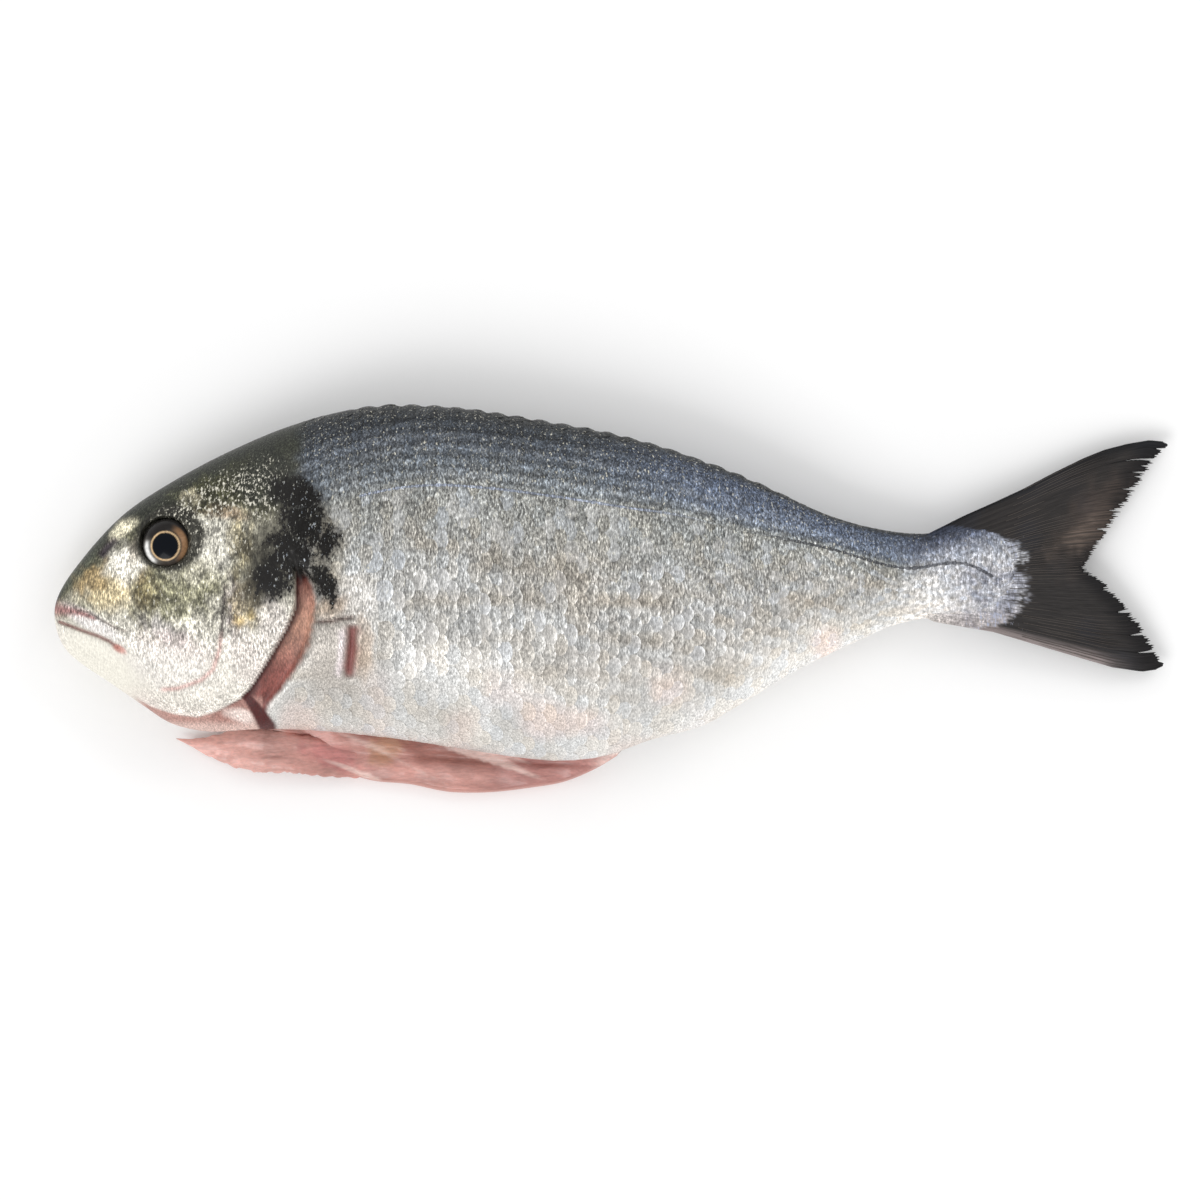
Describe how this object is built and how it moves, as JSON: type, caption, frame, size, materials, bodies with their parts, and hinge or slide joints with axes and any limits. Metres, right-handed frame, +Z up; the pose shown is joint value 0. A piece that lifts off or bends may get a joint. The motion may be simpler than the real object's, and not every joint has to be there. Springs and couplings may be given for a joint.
{
  "type": "sea bream",
  "caption": "Whole gutted fish lying on its right side, with a forked tail, round eyes and an open belly whose lower wall spreads out flat.",
  "frame": {"origin": "under the middle of the fish, on the surface it lies on", "axes": "+X from snout to tail, +Y from belly to back, +Z up out of the left flank"},
  "size_m": [0.33, 0.1146, 0.0393],
  "materials": {
    "skin": "wet silver scales, slate blue back, pale belly",
    "fin": "dark grey fin membrane over fine rays",
    "flesh": "wet pink flesh",
    "eye": "wet dark pupil in a bronze ring"
  },
  "bodies": {
    "root": {"bream": "skin", "eye_left": "eye", "eye_right": "eye"}
  },
  "joints": []
}
